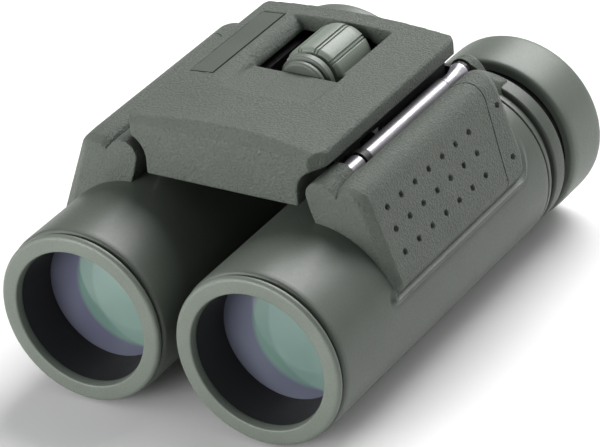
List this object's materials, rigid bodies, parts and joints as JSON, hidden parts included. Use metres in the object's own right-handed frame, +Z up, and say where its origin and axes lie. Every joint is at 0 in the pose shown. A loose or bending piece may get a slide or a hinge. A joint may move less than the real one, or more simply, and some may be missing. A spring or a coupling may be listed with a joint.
{
  "type": "folding binoculars",
  "caption": "Compact folding roof-prism binoculars: a flat bridge with a central focus wheel, hinged to twin barrels with grained side wings and twist-up eyecups.",
  "frame": {"origin": "on the ground, midway along the length and midway between the two barrels", "axes": "+Y from the objectives to the eyepieces, along the barrels; +Z up through the bridge; +X to the left barrel, as the user holds it"},
  "size_m": [0.0728, 0.1018, 0.0501],
  "materials": {
    "grained_cover": "fine grained grey-green",
    "armour_rubber": "satin grey-green",
    "eyecup_rubber": "satin grey-green",
    "wheel_rubber": "satin grey",
    "painted_ring": "satin grey-green",
    "black_metal": "black anodised",
    "black_plastic": "moulded",
    "chrome": "polished",
    "steel": "turned",
    "brass": "turned",
    "prism_glass": "polished",
    "coated_glass": "green coated"
  },
  "bodies": {
    "bridge": {"top_cover": "grained_cover", "bottom_cover": "black_plastic", "chassis": "black_metal", "nameplate": "painted_ring", "front_bearing": "brass", "rear_bearing": "brass", "cover_screw_1": "steel", "cover_screw_2": "steel", "cover_screw_3": "steel", "cover_screw_4": "steel"},
    "focus_wheel": {"focus_wheel": "wheel_rubber", "focus_hub": "painted_ring", "focus_screw": "steel"},
    "focus_carriage": {"focus_carriage": "black_metal", "left_focus_sleeve": "chrome", "right_focus_sleeve": "chrome"},
    "left_barrel": {"left_wing_front": "grained_cover", "left_wing_rear": "grained_cover", "left_armour": "armour_rubber", "left_front_ring": "painted_ring", "left_optical_tube": "black_metal", "left_prism_cage": "black_metal", "left_front_prism": "prism_glass", "left_roof_prism": "prism_glass", "left_hinge_pin": "chrome", "left_eyepiece_tube": "black_metal", "left_eye_lens": "coated_glass", "left_rear_collar": "painted_ring", "left_field_lens": "prism_glass", "left_field_lens_cell": "black_metal"},
    "left_objective": {"left_objective_cell": "black_metal", "left_objective_lens": "coated_glass", "left_objective_retainer": "black_metal", "left_focus_finger": "steel"},
    "left_eyecup_guide": {"left_eyecup_guide": "black_plastic"},
    "left_eyecup": {"left_eyecup": "eyecup_rubber"},
    "right_barrel": {"right_wing_front": "grained_cover", "right_wing_rear": "grained_cover", "right_armour": "armour_rubber", "right_front_ring": "painted_ring", "right_optical_tube": "black_metal", "right_prism_cage": "black_metal", "right_front_prism": "prism_glass", "right_roof_prism": "prism_glass", "right_hinge_pin": "chrome", "right_eyepiece_tube": "black_metal", "right_eye_lens": "coated_glass"},
    "right_objective": {"right_objective_cell": "black_metal", "right_objective_lens": "coated_glass", "right_objective_retainer": "black_metal", "right_focus_finger": "steel"},
    "right_eyecup_guide": {"right_eyecup_guide": "black_plastic"},
    "right_eyecup": {"right_eyecup": "eyecup_rubber"},
    "right_dioptre_ring": {"right_dioptre_ring": "painted_ring"},
    "right_dioptre_lens": {"right_field_lens": "prism_glass", "right_field_lens_cell": "black_metal"}
  },
  "joints": [
    {"name": "left_hinge", "type": "hinge", "parent": "bridge", "child": "left_barrel", "pos_m": [0.0209, 0, 0.04021], "axis": [0, -1, 0], "range_deg": [0, 48]},
    {"name": "right_hinge", "type": "hinge", "parent": "bridge", "child": "right_barrel", "pos_m": [-0.0209, 0, 0.04021], "axis": [0, 1, 0], "range_deg": [0, 48]},
    {"name": "wheel_turn", "type": "hinge", "parent": "bridge", "child": "focus_wheel", "pos_m": [0, 0.0101, 0.04381], "axis": [0, 1, 0], "range_deg": [0, 350]},
    {"name": "carriage_slide", "type": "slide", "parent": "bridge", "child": "focus_carriage", "axis": [0, 1, 0], "range_m": [0, 0.0035]},
    {"name": "left_objective_slide", "type": "slide", "parent": "left_barrel", "child": "left_objective", "axis": [0, 1, 0], "range_m": [0, 0.0035]},
    {"name": "left_eyecup_twist", "type": "hinge", "parent": "left_barrel", "child": "left_eyecup_guide", "pos_m": [0.01877, 0.0411, 0.0176], "axis": [0, 1, 0], "range_deg": [0, 120]},
    {"name": "left_eyecup_rise", "type": "slide", "parent": "left_eyecup_guide", "child": "left_eyecup", "axis": [0, 1, 0], "range_m": [0, 0.006]},
    {"name": "right_objective_slide", "type": "slide", "parent": "right_barrel", "child": "right_objective", "axis": [0, 1, 0], "range_m": [0, 0.0035]},
    {"name": "right_eyecup_twist", "type": "hinge", "parent": "right_barrel", "child": "right_eyecup_guide", "pos_m": [-0.01877, 0.0411, 0.0176], "axis": [0, 1, 0], "range_deg": [0, 120]},
    {"name": "right_eyecup_rise", "type": "slide", "parent": "right_eyecup_guide", "child": "right_eyecup", "axis": [0, 1, 0], "range_m": [0, 0.006]},
    {"name": "dioptre_turn", "type": "hinge", "parent": "right_barrel", "child": "right_dioptre_ring", "pos_m": [-0.01877, 0.0338, 0.0176], "axis": [0, 1, 0], "range_deg": [-35, 35]},
    {"name": "dioptre_shift", "type": "slide", "parent": "right_barrel", "child": "right_dioptre_lens", "axis": [0, 1, 0], "range_m": [-0.0006, 0.0006]}
  ],
  "couplings": [
    {"joint": "wheel_turn", "follows": "carriage_slide", "rad_per_m": 1745},
    {"joint": "left_objective_slide", "follows": "carriage_slide", "ratio": 1},
    {"joint": "right_objective_slide", "follows": "carriage_slide", "ratio": 1},
    {"joint": "left_eyecup_rise", "follows": "left_eyecup_twist", "m_per_rad": 0.00286},
    {"joint": "right_eyecup_rise", "follows": "right_eyecup_twist", "m_per_rad": 0.00286},
    {"joint": "dioptre_shift", "follows": "dioptre_turn", "m_per_rad": 0.00098}
  ]
}
